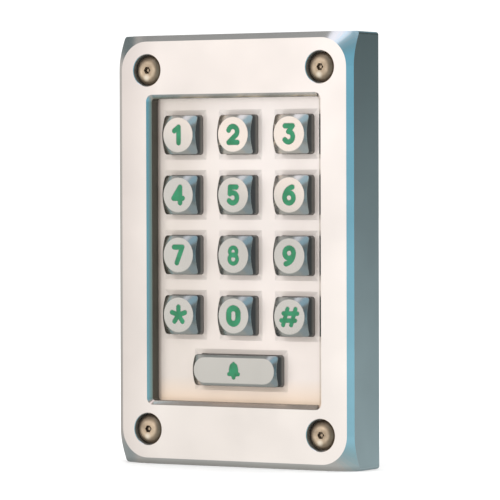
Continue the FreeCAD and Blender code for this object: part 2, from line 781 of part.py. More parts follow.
def add_domes(body, name, places):
    """Raise domes on the mat and hollow them out around their contact tips."""
    inner_radius = "sizes.dome_radius - sizes.dome_wall"
    outer = [circle("sizes.dome_radius", x, z) for x, z in places]
    inner = [circle(inner_radius, x, z) for x, z in places]
    tips = [circle("sizes.dome_tip_radius", x, z) for x, z in places]
    dome = pad(body, name + "_dome", "layers.mat_front", "layers.dome_height", outer,
               taper="-sizes.dome_angle")
    base = pocket(body, name + "_base", "layers.board_front", "sizes.dome_tip_gap", inner, outward=True)
    hollow = pocket(body, name + "_hollow", "layers.board_front + sizes.dome_tip_gap",
                    "layers.dome_ceiling - layers.board_front - sizes.dome_tip_gap",
                    [circle(f"{inner_radius} - sizes.dome_wall", x, z) for x, z in places] + tips,
                    outward=True)
    return [dome, base, hollow]


def circuit_board():
    """Make the printed circuit board."""
    body = new_body("circuit_board")
    outline = rounded_rectangle("sizes.board_width", "sizes.board_height", "sizes.board_radius")
    pad(body, "laminate", "layers.board_back", "sizes.board_thickness", [outline])
    holes = [circle("sizes.standoff_stud_radius + sizes.fit_gap", x, z) for x, z in standoff_places()]
    pocket(body, "screw_holes", "layers.board_front", "sizes.board_thickness", holes)


def contact_pads():
    """Make the gilt contacts: two half discs under each dome."""
    places = [(key_x(column), key_z(row)) for row in ROWS for column in COLUMNS] + bell_domes()
    pads = []
    for index, (x, z) in enumerate(places):
        disc = cylinder(f"pad_{index}", "sizes.pad_radius", "sizes.pad_thickness", "layers.board_front", x, z)
        slot = box(f"pad_slot_{index}", "sizes.pad_gap", "sizes.pad_thickness", "3 * sizes.pad_radius",
                   "layers.board_front", x, z)
        pads.append(cut(f"pad_halves_{index}", disc, slot))
    group("contact_pads", pads)


def backlight_leds():
    """Make the ten side-view light-emitting diodes."""
    lamps = []
    for index, (x, z) in enumerate(led_places()):
        lamps.append(box(f"led_{index}", "sizes.led_width", "sizes.led_thickness", "sizes.led_height",
                         "layers.board_front", x, z))
    group("backlight_leds", lamps)


# Flat packages on the rear of the board: width, height and thickness, then x, z and leads a side.
PACKAGES = {
    "controller_chip": (9.0, 9.0, 1.4, 15.0, 10.0, 8),
    "interface_chip": (3.9, 4.9, 1.5, -15.0, -8.0, 4),
    "voltage_regulator": (3.5, 6.5, 1.6, -16.0, 12.0, 3),
}


def flat_package(name, width, height, thickness, x, z, leads):
    """Make a surface-mounted package: a moulded body with leads on its left and right sides."""
    base = f"layers.board_back - {thickness}"
    pieces = [box(name + "_body", f"{width}", f"{thickness}", f"{height}", base, f"{x}", f"{z}")]
    pitch = height / leads
    for side in (-1, 1):
        for index in range(leads):
            lead_z = z + (index - (leads - 1) / 2) * pitch
            lead_x = f"{x} + {side} * ({width} + sizes.lead_length) / 2"
            pieces.append(box(f"{name}_lead_{side + 1}_{index}", "sizes.lead_length", "sizes.lead_thickness",
                              "sizes.lead_width", "layers.board_back - sizes.lead_thickness",
                              lead_x, f"{lead_z}"))
    fuse(name, pieces)


def board_components():
    """Make the parts on the rear of the board."""
    for name, package in PACKAGES.items():
        flat_package(name, *package)
    capacitors = []
    for index, side in enumerate((-1, 1)):
        capacitors.append(box(f"capacitor_{index}", "sizes.capacitor_width", "sizes.capacitor_thickness",
                              "sizes.capacitor_height", "layers.board_back - sizes.capacitor_thickness",
                              f"sizes.capacitor_x + {side} * sizes.capacitor_pitch / 2", "sizes.capacitor_z"))
    group("smoothing_capacitors", capacitors)
    box("clock_crystal", "sizes.crystal_width", "sizes.crystal_thickness", "sizes.crystal_height",
        "layers.board_back - sizes.crystal_thickness", "sizes.crystal_x", "sizes.crystal_z")
    piezo_sounder()


def piezo_sounder():
    """Make the sounder: a thin brass plate with a ceramic disc bonded to its rear."""
    plate_back = "layers.board_back - sizes.sounder_thickness"
    plate = cylinder("sounder_plate", "sizes.sounder_radius", "sizes.sounder_thickness", plate_back,
                     "sizes.sounder_x", "sizes.sounder_z")
    disc = cylinder("sounder_disc", "sizes.sounder_disc_radius", "sizes.sounder_disc_thickness",
                    plate_back + " - sizes.sounder_disc_thickness", "sizes.sounder_x", "sizes.sounder_z")
    fuse("piezo_sounder", [plate, disc])


# ---------------------------------------------------------------- fasteners

def screw_section(sketch):
    """Draw half a security screw's section: x is the radius, and the head's end has the lowest y."""
    top = "layers.screw_seat + sizes.screw_head_height"
    drop = "(sizes.screw_head_height - sizes.screw_rim_height)"
    crown = f"((sizes.screw_head_radius - sizes.screw_land_radius)^2 + {drop}^2) / (2 * {drop})"
    spots = [("0", f"-({top})"), ("sizes.screw_land_radius", f"-({top})"),
             ("sizes.screw_head_radius", f"{drop} - ({top})"),
             ("sizes.screw_head_radius", "-layers.screw_seat"),
             ("sizes.screw_shank_radius", "-layers.screw_seat"),
             ("sizes.screw_shank_radius", "-2 * sizes.fit_gap"), ("0", "-2 * sizes.fit_gap")]
    points = [Vector(value(x), value(y), 0) for x, y in spots]
    crown_edge, rim = 1, 2
    centre = points[crown_edge] + Vector(0, value(crown), 0)
    turn = math.atan2(points[rim].y - centre.y, points[rim].x - centre.x)
    for index, point in enumerate(points):
        if index == crown_edge:
            whole = Part.Circle(centre, Vector(0, 0, 1), value(crown))
            sketch.addGeometry(Part.ArcOfCircle(whole, -math.pi / 2, turn))
        else:
            sketch.addGeometry(Part.LineSegment(point, points[(index + 1) % len(points)]))
    for index in range(len(points)):
        sketch.addConstraint(Sketcher.Constraint("Coincident", index, 2, (index + 1) % len(points), 1))
    place_point(sketch, "crown_centre", crown_edge, 3, spots[crown_edge][0], f"{crown} - ({top})")
    for index, (x, y) in enumerate(spots):
        if index != rim:
            place_point(sketch, f"corner_{index}", index, 1, x, y)
    reach = Sketcher.Constraint("DistanceX", -1, 1, rim, 1, points[rim].x)
    bind_constraint(sketch, "head_reach", reach, spots[rim][0])


def security_screw(index, x, z):
    """Make a domed screw whose hexagon socket has a sunk pin in it."""
    body = new_body(f"security_screw_{index}", x, z)
    sketch = body.newObject("Sketcher::SketchObject", "section")
    plane = [part for part in body.Origin.OriginFeatures if part.Role == "XY_Plane"][0]
    sketch.AttachmentSupport = (plane, [""])
    sketch.MapMode = "FlatFace"
    screw_section(sketch)
    turned = body.newObject("PartDesign::Revolution", "turned")
    turned.Profile = sketch
    turned.ReferenceAxis = (sketch, ["V_Axis"])
    turned.Angle = 360
    doc.recompute()
    top = "layers.screw_seat + sizes.screw_head_height"
    socket = hexagon("sizes.socket_across_flats")
    pocket(body, "socket", top, "sizes.socket_pin_drop", [socket])
    pocket(body, "socket_floor", top + " - sizes.socket_pin_drop",
           "sizes.socket_depth - sizes.socket_pin_drop", [socket, circle("sizes.socket_pin_radius")])
    return body


def screw_seal(index, x, z):
    """Make the rubber washer under a screw head."""
    body = new_body(f"screw_seal_{index}", x, z)
    pad(body, "washer", "layers.counterbore_floor", "sizes.screw_seal_thickness",
        [circle("sizes.screw_head_radius"), circle("sizes.screw_shank_radius + sizes.fit_gap / 2")])
    return body


def screw_insert(index, x, z):
    """Make the press-in nut that the back plate holds for a security screw."""
    body = new_body(f"screw_insert_{index}", x, z)
    pad(body, "collar", "sizes.plate_thickness", "sizes.insert_collar_height",
        [circle("sizes.insert_collar_radius")])
    pad(body, "neck", "sizes.fit_gap", "sizes.plate_thickness - sizes.fit_gap",
        [circle("sizes.insert_neck_radius")])
    pocket(body, "bore", "sizes.plate_thickness + sizes.insert_collar_height",
           "sizes.plate_thickness + sizes.insert_collar_height", [circle("sizes.insert_bore_radius")])
    return body


def board_standoff(index, x, z):
    """Make the hexagonal standoff that clamps the panel to the housing and carries the board."""
    body = new_body(f"standoff_{index}", x, z)
    pad(body, "pillar", "layers.board_front", "sizes.board_gap", [hexagon("sizes.standoff_across_flats")])
    pad(body, "stud", "layers.panel_back", "sizes.standoff_stud_length",
        [circle("sizes.standoff_stud_radius")])
    pocket(body, "bore", "layers.board_front", "sizes.standoff_bore_depth",
           [circle("sizes.standoff_bore_radius")], outward=True)
    return body


def board_screw(index, x, z):
    """Make the cross-slotted screw that holds the board on its standoff."""
    body = new_body(f"board_screw_{index}", x, z)
    head_back = "layers.board_back - sizes.board_screw_head_height"
    pad(body, "head", head_back, "sizes.board_screw_head_height", [circle("sizes.board_screw_head_radius")])
    pad(body, "shank", "layers.board_back", "sizes.board_screw_length", [circle("sizes.board_screw_radius")])
    long_side = "1.4 * sizes.board_screw_head_radius"
    short_side = "0.3 * sizes.board_screw_head_radius"
    for name, across, along in (("slot", long_side, short_side), ("cross", short_side, long_side)):
        pocket(body, name, head_back, "sizes.board_screw_head_height / 2", [rectangle(across, along)],
               outward=True)
    return body


def fasteners():
    """Make the groups of identical fasteners."""
    corners = [(f"{side_x} * sizes.screw_x", f"{side_z} * sizes.screw_z") for side_x, side_z in CORNERS]
    kinds = (("security_screws", security_screw, corners), ("screw_seals", screw_seal, corners),
             ("screw_inserts", screw_insert, corners), ("board_standoffs", board_standoff, standoff_places()),
             ("board_screws", board_screw, standoff_places()))
    for name, make, places in kinds:
        group(name, [make(index, x, z) for index, (x, z) in enumerate(places)])


# ---------------------------------------------------------------- back plate, tamper switch, cable

def back_plate():
    """Make the steel plate that screws to the wall and closes the housing."""
    body = new_body("back_plate")
    outline = rounded_rectangle("layers.cavity_width - 2 * sizes.plate_gap",
                                "layers.cavity_height - 2 * sizes.plate_gap",
                                "sizes.cavity_radius - sizes.plate_gap")
    pad(body, "sheet", "0", "sizes.plate_thickness", [outline])
    inserts = [circle("sizes.insert_neck_radius + sizes.fit_gap / 2", f"{side_x} * sizes.screw_x",
                      f"{side_z} * sizes.screw_z") for side_x, side_z in CORNERS]
    fixings = [circle("sizes.wall_fixing_radius", z=f"{side} * sizes.wall_fixing_spacing / 2")
               for side in (-1, 1)]
    openings = [circle("sizes.grommet_hole_radius", z="sizes.cable_z"),
                circle("sizes.plunger_radius + 4 * sizes.fit_gap", "sizes.tamper_x", "sizes.tamper_z")]
    pocket(body, "insert_holes", "sizes.plate_thickness", "sizes.plate_thickness", inserts)
    pocket(body, "fixing_holes", "sizes.plate_thickness", "sizes.plate_thickness", fixings)
    pocket(body, "openings", "sizes.plate_thickness", "sizes.plate_thickness", openings)


def tamper_switch():
    """Make the sealed switch that feels for the wall, and its plunger pressed in level with the wall."""
    x, z = "sizes.tamper_x", "sizes.tamper_z"
    rear = "layers.board_back - sizes.tamper_height"
    chamber_height = "sizes.tamper_height - sizes.tamper_wall - sizes.plunger_gap"
    case = box("tamper_case", "sizes.tamper_size", "sizes.tamper_height", "sizes.tamper_size", rear, x, z)
    chamber = cylinder("tamper_chamber", "sizes.plunger_flange_radius + sizes.fit_gap", chamber_height,
                       f"{rear} + sizes.tamper_wall", x, z)
    bore = cylinder("tamper_bore", "sizes.plunger_radius + sizes.plunger_gap", "2 * sizes.tamper_wall",
                    f"{rear} - sizes.tamper_wall", x, z)
    cut("tamper_switch", case, fuse("tamper_space", [chamber, bore]))
    flange_back = "layers.board_back - 2 * sizes.plunger_gap - sizes.plunger_flange_thickness"
    stem = cylinder("plunger_stem", "sizes.plunger_radius", flange_back, "0", x, z)
    flange = cylinder("plunger_flange", "sizes.plunger_flange_radius", "sizes.plunger_flange_thickness",
                      flange_back, x, z)
    fuse("tamper_plunger", [stem, flange])


def cable_grommet():
    """Make the rubber grommet that carries the cable through the back plate."""
    body = new_body("cable_grommet", "0", "sizes.cable_z")
    hole = circle("sizes.cable_radius")
    pad(body, "neck", "sizes.fit_gap", "sizes.plate_thickness - sizes.fit_gap",
        [circle("sizes.grommet_hole_radius"), hole])
    pad(body, "flange", "sizes.plate_thickness", "sizes.grommet_flange_thickness",
        [circle("sizes.grommet_flange_radius"), hole])


def cable_jacket():
    """Make the round jacket of the pigtail, which leaves through the wall."""
    body = new_body("cable_jacket", "0", "sizes.cable_z")
    inside = "sizes.plate_thickness + sizes.grommet_flange_thickness"
    pad(body, "jacket", "-sizes.jacket_length", f"sizes.jacket_length + {inside}",
        [circle("sizes.cable_radius"), circle("sizes.cable_radius - sizes.jacket_thickness")])


def cable_conductors():
    """Make the eight insulated wires: straight in the jacket, then flaring out past its end."""
    ring = value("sizes.conductor_ring_radius")
    flare = value("sizes.conductor_flare_radius")
    turn = math.radians(value("sizes.conductor_flare_angle"))
    tail = value("sizes.conductor_tail")
    inner_end = value("layers.board_back")
    outer_end = value("sizes.jacket_length")
    middle = Vector(ring + flare * (1 - math.cos(turn / 2)), outer_end + flare * math.sin(turn / 2), 0)
    bend_end = Vector(ring + flare * (1 - math.cos(turn)), outer_end + flare * math.sin(turn), 0)
    tip = bend_end + Vector(math.sin(turn), math.cos(turn), 0) * tail
    start = Vector(ring, -inner_end, 0)
    bend_start = Vector(ring, outer_end, 0)
    path = Part.Wire([Part.makeLine(start, bend_start), Part.Arc(bend_start, middle, bend_end).toShape(),
                      Part.makeLine(bend_end, tip)])
    section = Part.Wire(Part.makeCircle(value("sizes.conductor_radius"), start, Vector(0, 1, 0)))
    wires = []
    for index in range(CONDUCTORS):
        wire = path.makePipeShell([section], True, True)
        wire.rotate(Vector(), Vector(0, 1, 0), 360 / CONDUCTORS * index)
        wires.append(wire)
    conductors = doc.addObject("Part::Feature", "cable_conductors")
    conductors.Shape = Part.makeCompound(wires)
    place(conductors, "0", "0", "sizes.cable_z")


# ---------------------------------------------------------------- sub-parts

SUB_PARTS = ["front_housing", "keypad_panel", "panel_seal", "wall_seal", "silicone_mat", "circuit_board",
             "contact_pads", "backlight_leds", "controller_chip", "interface_chip", "voltage_regulator",
             "smoothing_capacitors", "clock_crystal", "piezo_sounder", "security_screws", "screw_seals",
             "screw_inserts", "board_standoffs", "board_screws", "back_plate", "tamper_switch",
             "tamper_plunger", "cable_grommet", "cable_jacket", "cable_conductors"]
for key_name in [name for row in KEY_NAMES for name in row] + ["bell"]:
    SUB_PARTS += ["key_" + key_name, "legend_" + key_name]


def check_document():
    """Stop if any object failed, any cut removed nothing, or any sub-part isn't sound."""
    for item in doc.Objects:
        if "Invalid" in item.State or "Error" in item.State:
            raise RuntimeError(f"{item.Name} failed: {item.State}")
        if item.TypeId == "PartDesign::Pocket" and item.BaseFeature.Shape.Volume <= item.Shape.Volume:
            raise RuntimeError(f"{item.Name} cuts nothing")
    for name in SUB_PARTS:
        shape = doc.getObject(name).Shape
        if shape.isNull() or not shape.isValid() or not shape.Solids:
            raise RuntimeError(f"{name} has no sound shape")


def main():
    """Build every sub-part, check it and write it."""
    front_housing()
    panel_seal()
    wall_seal()
    keypad_panel()
    keys()
    silicone_mat()
    circuit_board()
    contact_pads()
    backlight_leds()
    board_components()
    fasteners()
    back_plate()
    tamper_switch()
    cable_grommet()
    cable_jacket()
    cable_conductors()
    doc.recompute()
    check_document()
    os.makedirs("parts", exist_ok=True)
    for name in SUB_PARTS:
        sub_part = doc.getObject(name)
        sub_part.Label = name
        sub_part.Shape.exportStep(f"parts/{name}.step")
        print(name, len(sub_part.Shape.Solids), round(sub_part.Shape.Volume, 2))


main()
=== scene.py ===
"""Looks of the keypad access reader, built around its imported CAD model.

Metres, +Z up. The front faces -Y and the wall is the plane y = 0.
"""
import math

import bmesh
import bpy
from mathutils import Matrix, Vector


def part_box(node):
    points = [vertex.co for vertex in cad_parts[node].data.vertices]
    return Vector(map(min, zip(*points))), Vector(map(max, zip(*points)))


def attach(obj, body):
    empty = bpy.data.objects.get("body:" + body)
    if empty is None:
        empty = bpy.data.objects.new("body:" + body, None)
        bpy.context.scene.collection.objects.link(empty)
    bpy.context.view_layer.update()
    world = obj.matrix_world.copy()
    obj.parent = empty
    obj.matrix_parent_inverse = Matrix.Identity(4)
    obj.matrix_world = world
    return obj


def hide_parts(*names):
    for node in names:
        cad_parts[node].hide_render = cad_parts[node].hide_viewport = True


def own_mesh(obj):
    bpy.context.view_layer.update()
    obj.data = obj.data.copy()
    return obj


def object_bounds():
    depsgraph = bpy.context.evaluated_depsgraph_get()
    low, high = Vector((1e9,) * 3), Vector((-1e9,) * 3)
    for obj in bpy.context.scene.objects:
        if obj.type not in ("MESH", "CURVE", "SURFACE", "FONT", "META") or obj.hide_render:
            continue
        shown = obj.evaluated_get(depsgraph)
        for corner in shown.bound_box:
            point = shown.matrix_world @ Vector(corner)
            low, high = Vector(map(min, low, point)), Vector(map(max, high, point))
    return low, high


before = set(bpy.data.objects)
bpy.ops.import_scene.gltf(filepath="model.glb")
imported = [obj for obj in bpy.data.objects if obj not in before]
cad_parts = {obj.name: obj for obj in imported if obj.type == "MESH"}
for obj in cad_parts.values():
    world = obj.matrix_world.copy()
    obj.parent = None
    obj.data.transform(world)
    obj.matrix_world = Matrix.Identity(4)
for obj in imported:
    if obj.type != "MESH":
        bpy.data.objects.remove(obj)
cad_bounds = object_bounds()
MM = 0.001
KEYS = [name[4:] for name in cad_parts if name.startswith("key_")]
# The window in the housing's front, and the strip round it that its chamfer takes up.
WINDOW_WIDTH = 54.3 * MM
WINDOW_HEIGHT = 84.6 * MM
WINDOW_MARGIN = 1.4 * MM


# ---------------------------------------------------------------- node helpers

class Nodes:
    """A node tree, put together node by node."""

    def __init__(self, tree, place):
        self.tree = tree
        self.tree.nodes.clear()
        self.place = self.add("ShaderNodeTexCoord").outputs[place]

    def add(self, kind, inputs=None, **settings):
        """Add a node; each input is a value or another node's socket."""
        node = self.tree.nodes.new(kind)
        for name, setting in settings.items():
            setattr(node, name, setting)
        for name, source in (inputs or {}).items():
            if isinstance(source, bpy.types.NodeSocket):
                self.tree.links.new(source, node.inputs[name])
            else:
                node.inputs[name].default_value = source
        return node

    def math(self, operation, first, second=0.0, clamp=False):
        """Do arithmetic on values or sockets."""
        return self.add("ShaderNodeMath", {0: first, 1: second}, operation=operation,
                        use_clamp=clamp).outputs[0]

    def noise(self, scale, detail=2.0, stretch=(1, 1, 1)):
        """Noise of a number of cells a metre, stretched along the axes."""
        mapping = self.add("ShaderNodeMapping", {"Vector": self.place, "Scale": stretch})
        return self.add("ShaderNodeTexNoise", {"Vector": mapping.outputs[0], "Scale": scale,
                                               "Detail": detail, "Roughness": 0.5}).outputs["Fac"]

    def distance(self, across, up):
        """Measure how far a point lies from the origin of its plane."""
        squares = self.math("ADD", self.math("MULTIPLY", across, across), self.math("MULTIPLY", up, up))
        return self.math("SQRT", squares)

    def spread(self, value, low, high, to_low=0.0, to_high=1.0):
        """Map a value from one range onto another, held inside it."""
        return self.add("ShaderNodeMapRange", {"Value": value, "From Min": low, "From Max": high,
                                               "To Min": to_low, "To Max": to_high}).outputs[0]

    def mix(self, factor, first, second, blend="MIX"):
        """Mix two colours."""
        node = self.add("ShaderNodeMix", data_type="RGBA", blend_type=blend)
        for index, source in ((0, factor), (6, first), (7, second)):
            if isinstance(source, bpy.types.NodeSocket):
                self.tree.links.new(source, node.inputs[index])
            elif index == 0:
                node.inputs[index].default_value = source
            else:
                node.inputs[index].default_value = (*source, 1.0)
        return node.outputs[2]

    def ramp(self, value, stops, interpolation="LINEAR"):
        """Look up a colour: each stop is (position, colour)."""
        node = self.add("ShaderNodeValToRGB", {"Fac": value})
        node.color_ramp.interpolation = interpolation
        elements = node.color_ramp.elements
        for index, (position, colour) in enumerate(stops):
            stop = elements[index] if index < 2 else elements.new(position)
            stop.position = position
            stop.color = (*colour, 1.0)
        return node.outputs[0]


class Finish(Nodes):
    """One procedural material."""

    def __init__(self, name):
        self.material = bpy.data.materials.new(name)
        self.material.use_nodes = True
        super().__init__(self.material.node_tree, "Object")

    def edges(self, radius):
        """Find the edges: 1 on an edge, 0 on flat ground."""
        soft = self.add("ShaderNodeBevel", {"Radius": radius}, samples=6).outputs[0]
        hard = self.add("ShaderNodeNewGeometry").outputs["Normal"]
        agree = self.add("ShaderNodeVectorMath", {0: soft, 1: hard}, operation="DOT_PRODUCT")
        return self.spread(agree.outputs["Value"], 0.995, 0.90)

    def hollows(self, distance):
        """Find the tight corners: 1 deep in a corner, 0 in the open."""
        open_sky = self.add("ShaderNodeAmbientOcclusion", {"Distance": distance}, samples=8).outputs["AO"]
        return self.math("SUBTRACT", 1.0, open_sky, clamp=True)

    def walls(self):
        """Find the faces square to the front: 1 on a side wall, 0 on anything facing forward."""
        facing = self.add("ShaderNodeNewGeometry").outputs["True Normal"]
        forward = self.add("ShaderNodeSeparateXYZ", {"Vector": facing}).outputs[1]
        return self.spread(self.math("ABSOLUTE", forward), 0.45, 0.25)

    def inside(self, width, height):
        """Find what lies within a rectangle, seen from the front."""
        part = self.add("ShaderNodeSeparateXYZ", {"Vector": self.place}).outputs
        across = self.math("LESS_THAN", self.math("ABSOLUTE", part[0]), width / 2)
        along = self.math("LESS_THAN", self.math("ABSOLUTE", part[2]), height / 2)
        return self.math("MULTIPLY", across, along)

    def bump(self, height, depth, strength=1.0, normal=None):
        """Turn a height into a surface normal; depth is in metres."""
        inputs = {"Height": height, "Distance": depth, "Strength": strength}
        if normal:
            inputs["Normal"] = normal
        return self.add("ShaderNodeBump", inputs).outputs[0]

    def finish(self, shader_inputs):
        """Close the material with a principled surface."""
        surface = self.add("ShaderNodeBsdfPrincipled", shader_inputs)
        self.add("ShaderNodeOutputMaterial", {"Surface": surface.outputs[0]})
        return self.material


def paint(material, *nodes):
    """Give CAD nodes a material."""
    for name in nodes:
        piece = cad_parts[name]
        piece.data.materials.clear()
        piece.data.materials.append(material)


# ---------------------------------------------------------------- metals

def satin_metal(look, colour, roughness, wall_shade, wall_shade_colour, metallic=1.0, grime_and_shade_share=0.45,
                rounding=0.0):
    """Satin plating: fine blasted grain, faint clouding, edges rubbed brighter, grime and painted shade in
    the corners.

    Walls get painted shade, dark to look at and in reflections, but still throw pale light on what is next
    to them.
    """
    clouds = look.noise(45, 3)
    grit = look.noise(5200, 2)
    worn = look.edges(0.30 * MM)
    grime_and_shade = look.hollows(1.6 * MM)
    body = look.mix(look.spread(clouds, 0.3, 0.7, 0.0, 0.10), colour, (0, 0, 0))
    body = look.mix(look.math("MULTIPLY", worn, 0.12), body, (1.0, 1.0, 1.0))
    # Grime and painted shade: darker deep in the hollows.
    body = look.mix(look.math("MULTIPLY", grime_and_shade, grime_and_shade_share), body, (0.16, 0.13, 0.10))
    lighting = look.add("ShaderNodeLightPath").outputs["Is Diffuse Ray"]
    # Painted shade on the walls for the camera and reflections, pale for light bouncing off them.
    body = look.mix(wall_shade, body, look.mix(lighting, wall_shade_colour, (0.95, 0.92, 0.89)))
    bare = look.math("SUBTRACT", 1.0, wall_shade)
    mottle = look.math("ADD", look.math("MULTIPLY", clouds, 0.5), look.math("MULTIPLY", grit, 0.5))
    rough = look.spread(mottle, 0.3, 0.7, roughness - 0.02, roughness + 0.03)
    soft = look.add("ShaderNodeBevel", {"Radius": rounding}, samples=6).outputs[0] if rounding else None
    return look.finish({"Base Color": body, "Metallic": look.math("MULTIPLY", metallic, bare),
                        "Roughness": rough, "Specular IOR Level": look.math("MULTIPLY", 0.5, bare),
                        "Normal": look.bump(grit, 0.0012 * MM, normal=soft)})


def housing_metal():
    """Nickel-plated casting, with painted light and shade: lighter to the right, darker at the left edge, a
    blue reflection on the right bevel, darker faces deep in the window, and dark walls round the window and
    the screw wells.
    """
    look = Finish("housing_metal")
    low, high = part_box("front_housing")
    rim = 6 * MM
    sunk = look.math("MULTIPLY", look.walls(), look.inside(high.x - low.x - rim, high.z - low.z - rim))
    part = look.add("ShaderNodeSeparateXYZ", {"Vector": look.place}).outputs
    # Painted light and shade: the face lighter towards the right and darker near the left edge.
    left = look.spread(part[0], low.x + 14 * MM, low.x + 2 * MM)
    right = look.spread(part[0], 0.0, high.x)
    tone_with_painted_light = look.mix(right, (0.825, 0.79, 0.762), (0.905, 0.87, 0.845))
    tone_with_painted_light = look.mix(left, tone_with_painted_light, (0.70, 0.66, 0.635))
    window = look.inside(WINDOW_WIDTH + 2 * WINDOW_MARGIN, WINDOW_HEIGHT + 2 * WINDOW_MARGIN)
    normal = look.add("ShaderNodeNewGeometry").outputs["True Normal"]
    facing = look.add("ShaderNodeSeparateXYZ", {"Vector": normal}).outputs
    upward = look.spread(facing[2], 0.2, 0.5)
    # Painted reflection: bevels facing right take a blue reflection.
    bevel = look.math("MULTIPLY", look.spread(facing[0], 0.3, 0.55), look.spread(facing[0], 0.9, 0.8))
    blue_reflection = look.mix(look.spread(part[2], low.z, high.z), (0.60, 0.84, 0.90), (0.44, 0.81, 0.95))
    tone_with_painted_light = look.mix(bevel, tone_with_painted_light, blue_reflection)
    # Painted shade: upward faces inside the window are painted warmer and darker.
    tone_with_painted_light = look.mix(look.math("MULTIPLY", window, upward), tone_with_painted_light, (0.84, 0.69, 0.60))
    # Painted shade: faces in the window darken with depth, upward faces left out.
    deep = look.spread(part[1], low.y + 0.25 * MM, low.y + 1.1 * MM)
    deep_painted_shade = look.math("MULTIPLY", deep, look.math("SUBTRACT", 1.0, upward))
    tone_with_painted_light = look.mix(look.math("MULTIPLY", window, deep_painted_shade), tone_with_painted_light, (0.60, 0.56, 0.47))
    shade = look.mix(window, (0.130, 0.122, 0.100), (0.066, 0.062, 0.051))
    return satin_metal(look, tone_with_painted_light, 0.20, look.math("MULTIPLY", sunk, 0.97), shade)


def panel_metal():
    """Softer satin plate with painted light and shade: lighter towards the top, darker along its left and
    lower edges, warmer at the foot, and a painted contact shadow with grime along the window's left wall.
    """
    look = Finish("panel_metal")
    low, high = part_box("keypad_panel")
    window_low_x, window_low_z = -WINDOW_WIDTH / 2, -WINDOW_HEIGHT / 2
    part = look.add("ShaderNodeSeparateXYZ", {"Vector": look.place}).outputs
    # Painted light and shade: lighter towards the top, darker towards the left, warmer and darker at the
    # foot.
    height = look.spread(part[2], low.z, high.z)
    tone_with_painted_light = look.mix(height, (0.80, 0.73, 0.685), (0.85, 0.795, 0.765))
    left = look.spread(part[0], 0.0, window_low_x + 6 * MM, 0.0, 0.75)
    tone_with_painted_light = look.mix(left, tone_with_painted_light, (0.70, 0.64, 0.585))
    foot = look.spread(part[2], window_low_z + 7 * MM, window_low_z, 0.0, 0.9)
    tone_with_painted_light = look.mix(foot, tone_with_painted_light, (0.83, 0.66, 0.51))
    # Grime and a painted contact shadow in a thin strip along the window's left wall.
    grime_and_contact_shadow = look.spread(part[0], window_low_x + 1.1 * MM, window_low_x + 0.3 * MM, 0.0, 0.75)
    tone_with_painted_light = look.mix(grime_and_contact_shadow, tone_with_painted_light, (0.26, 0.21, 0.18))
    return satin_metal(look, tone_with_painted_light, 0.38, look.math("MULTIPLY", look.walls(), 0.95), (0.10, 0.09, 0.08),
                       metallic=0.30, grime_and_shade_share=0.08)


def key_metal():
    """Harder satin chrome on the keys, painted lighter towards the top right, with painted shade on their
    sides and a painted reflection at the foot of the sides.
    """
    look = Finish("key_metal")
    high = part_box("key_3")[1]
    panel_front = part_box("keypad_panel")[0].y
    part = look.add("ShaderNodeSeparateXYZ", {"Vector": look.place}).outputs
    above = look.spread(part[1], panel_front - 0.3 * MM, panel_front - 1.5 * MM)
    # Painted light: the keys lighter towards the top right.
    slant = look.math("ADD", part[2], look.math("MULTIPLY", part[0], 0.6))
    bright = look.spread(slant, high.z - 25 * MM, high.z - 8 * MM)
    tone_with_painted_light = look.mix(bright, (0.565, 0.565, 0.540), (0.80, 0.74, 0.68))
    # Painted shade on the sides, with a painted reflection of the well making them lighter next to the
    # panel.
    shade = look.mix(above, (0.150, 0.145, 0.135), (0.030, 0.037, 0.041))
    return satin_metal(look, tone_with_painted_light, 0.16, look.math("MULTIPLY", look.walls(), 0.97), shade,
                       grime_and_shade_share=0.25, rounding=0.35 * MM)


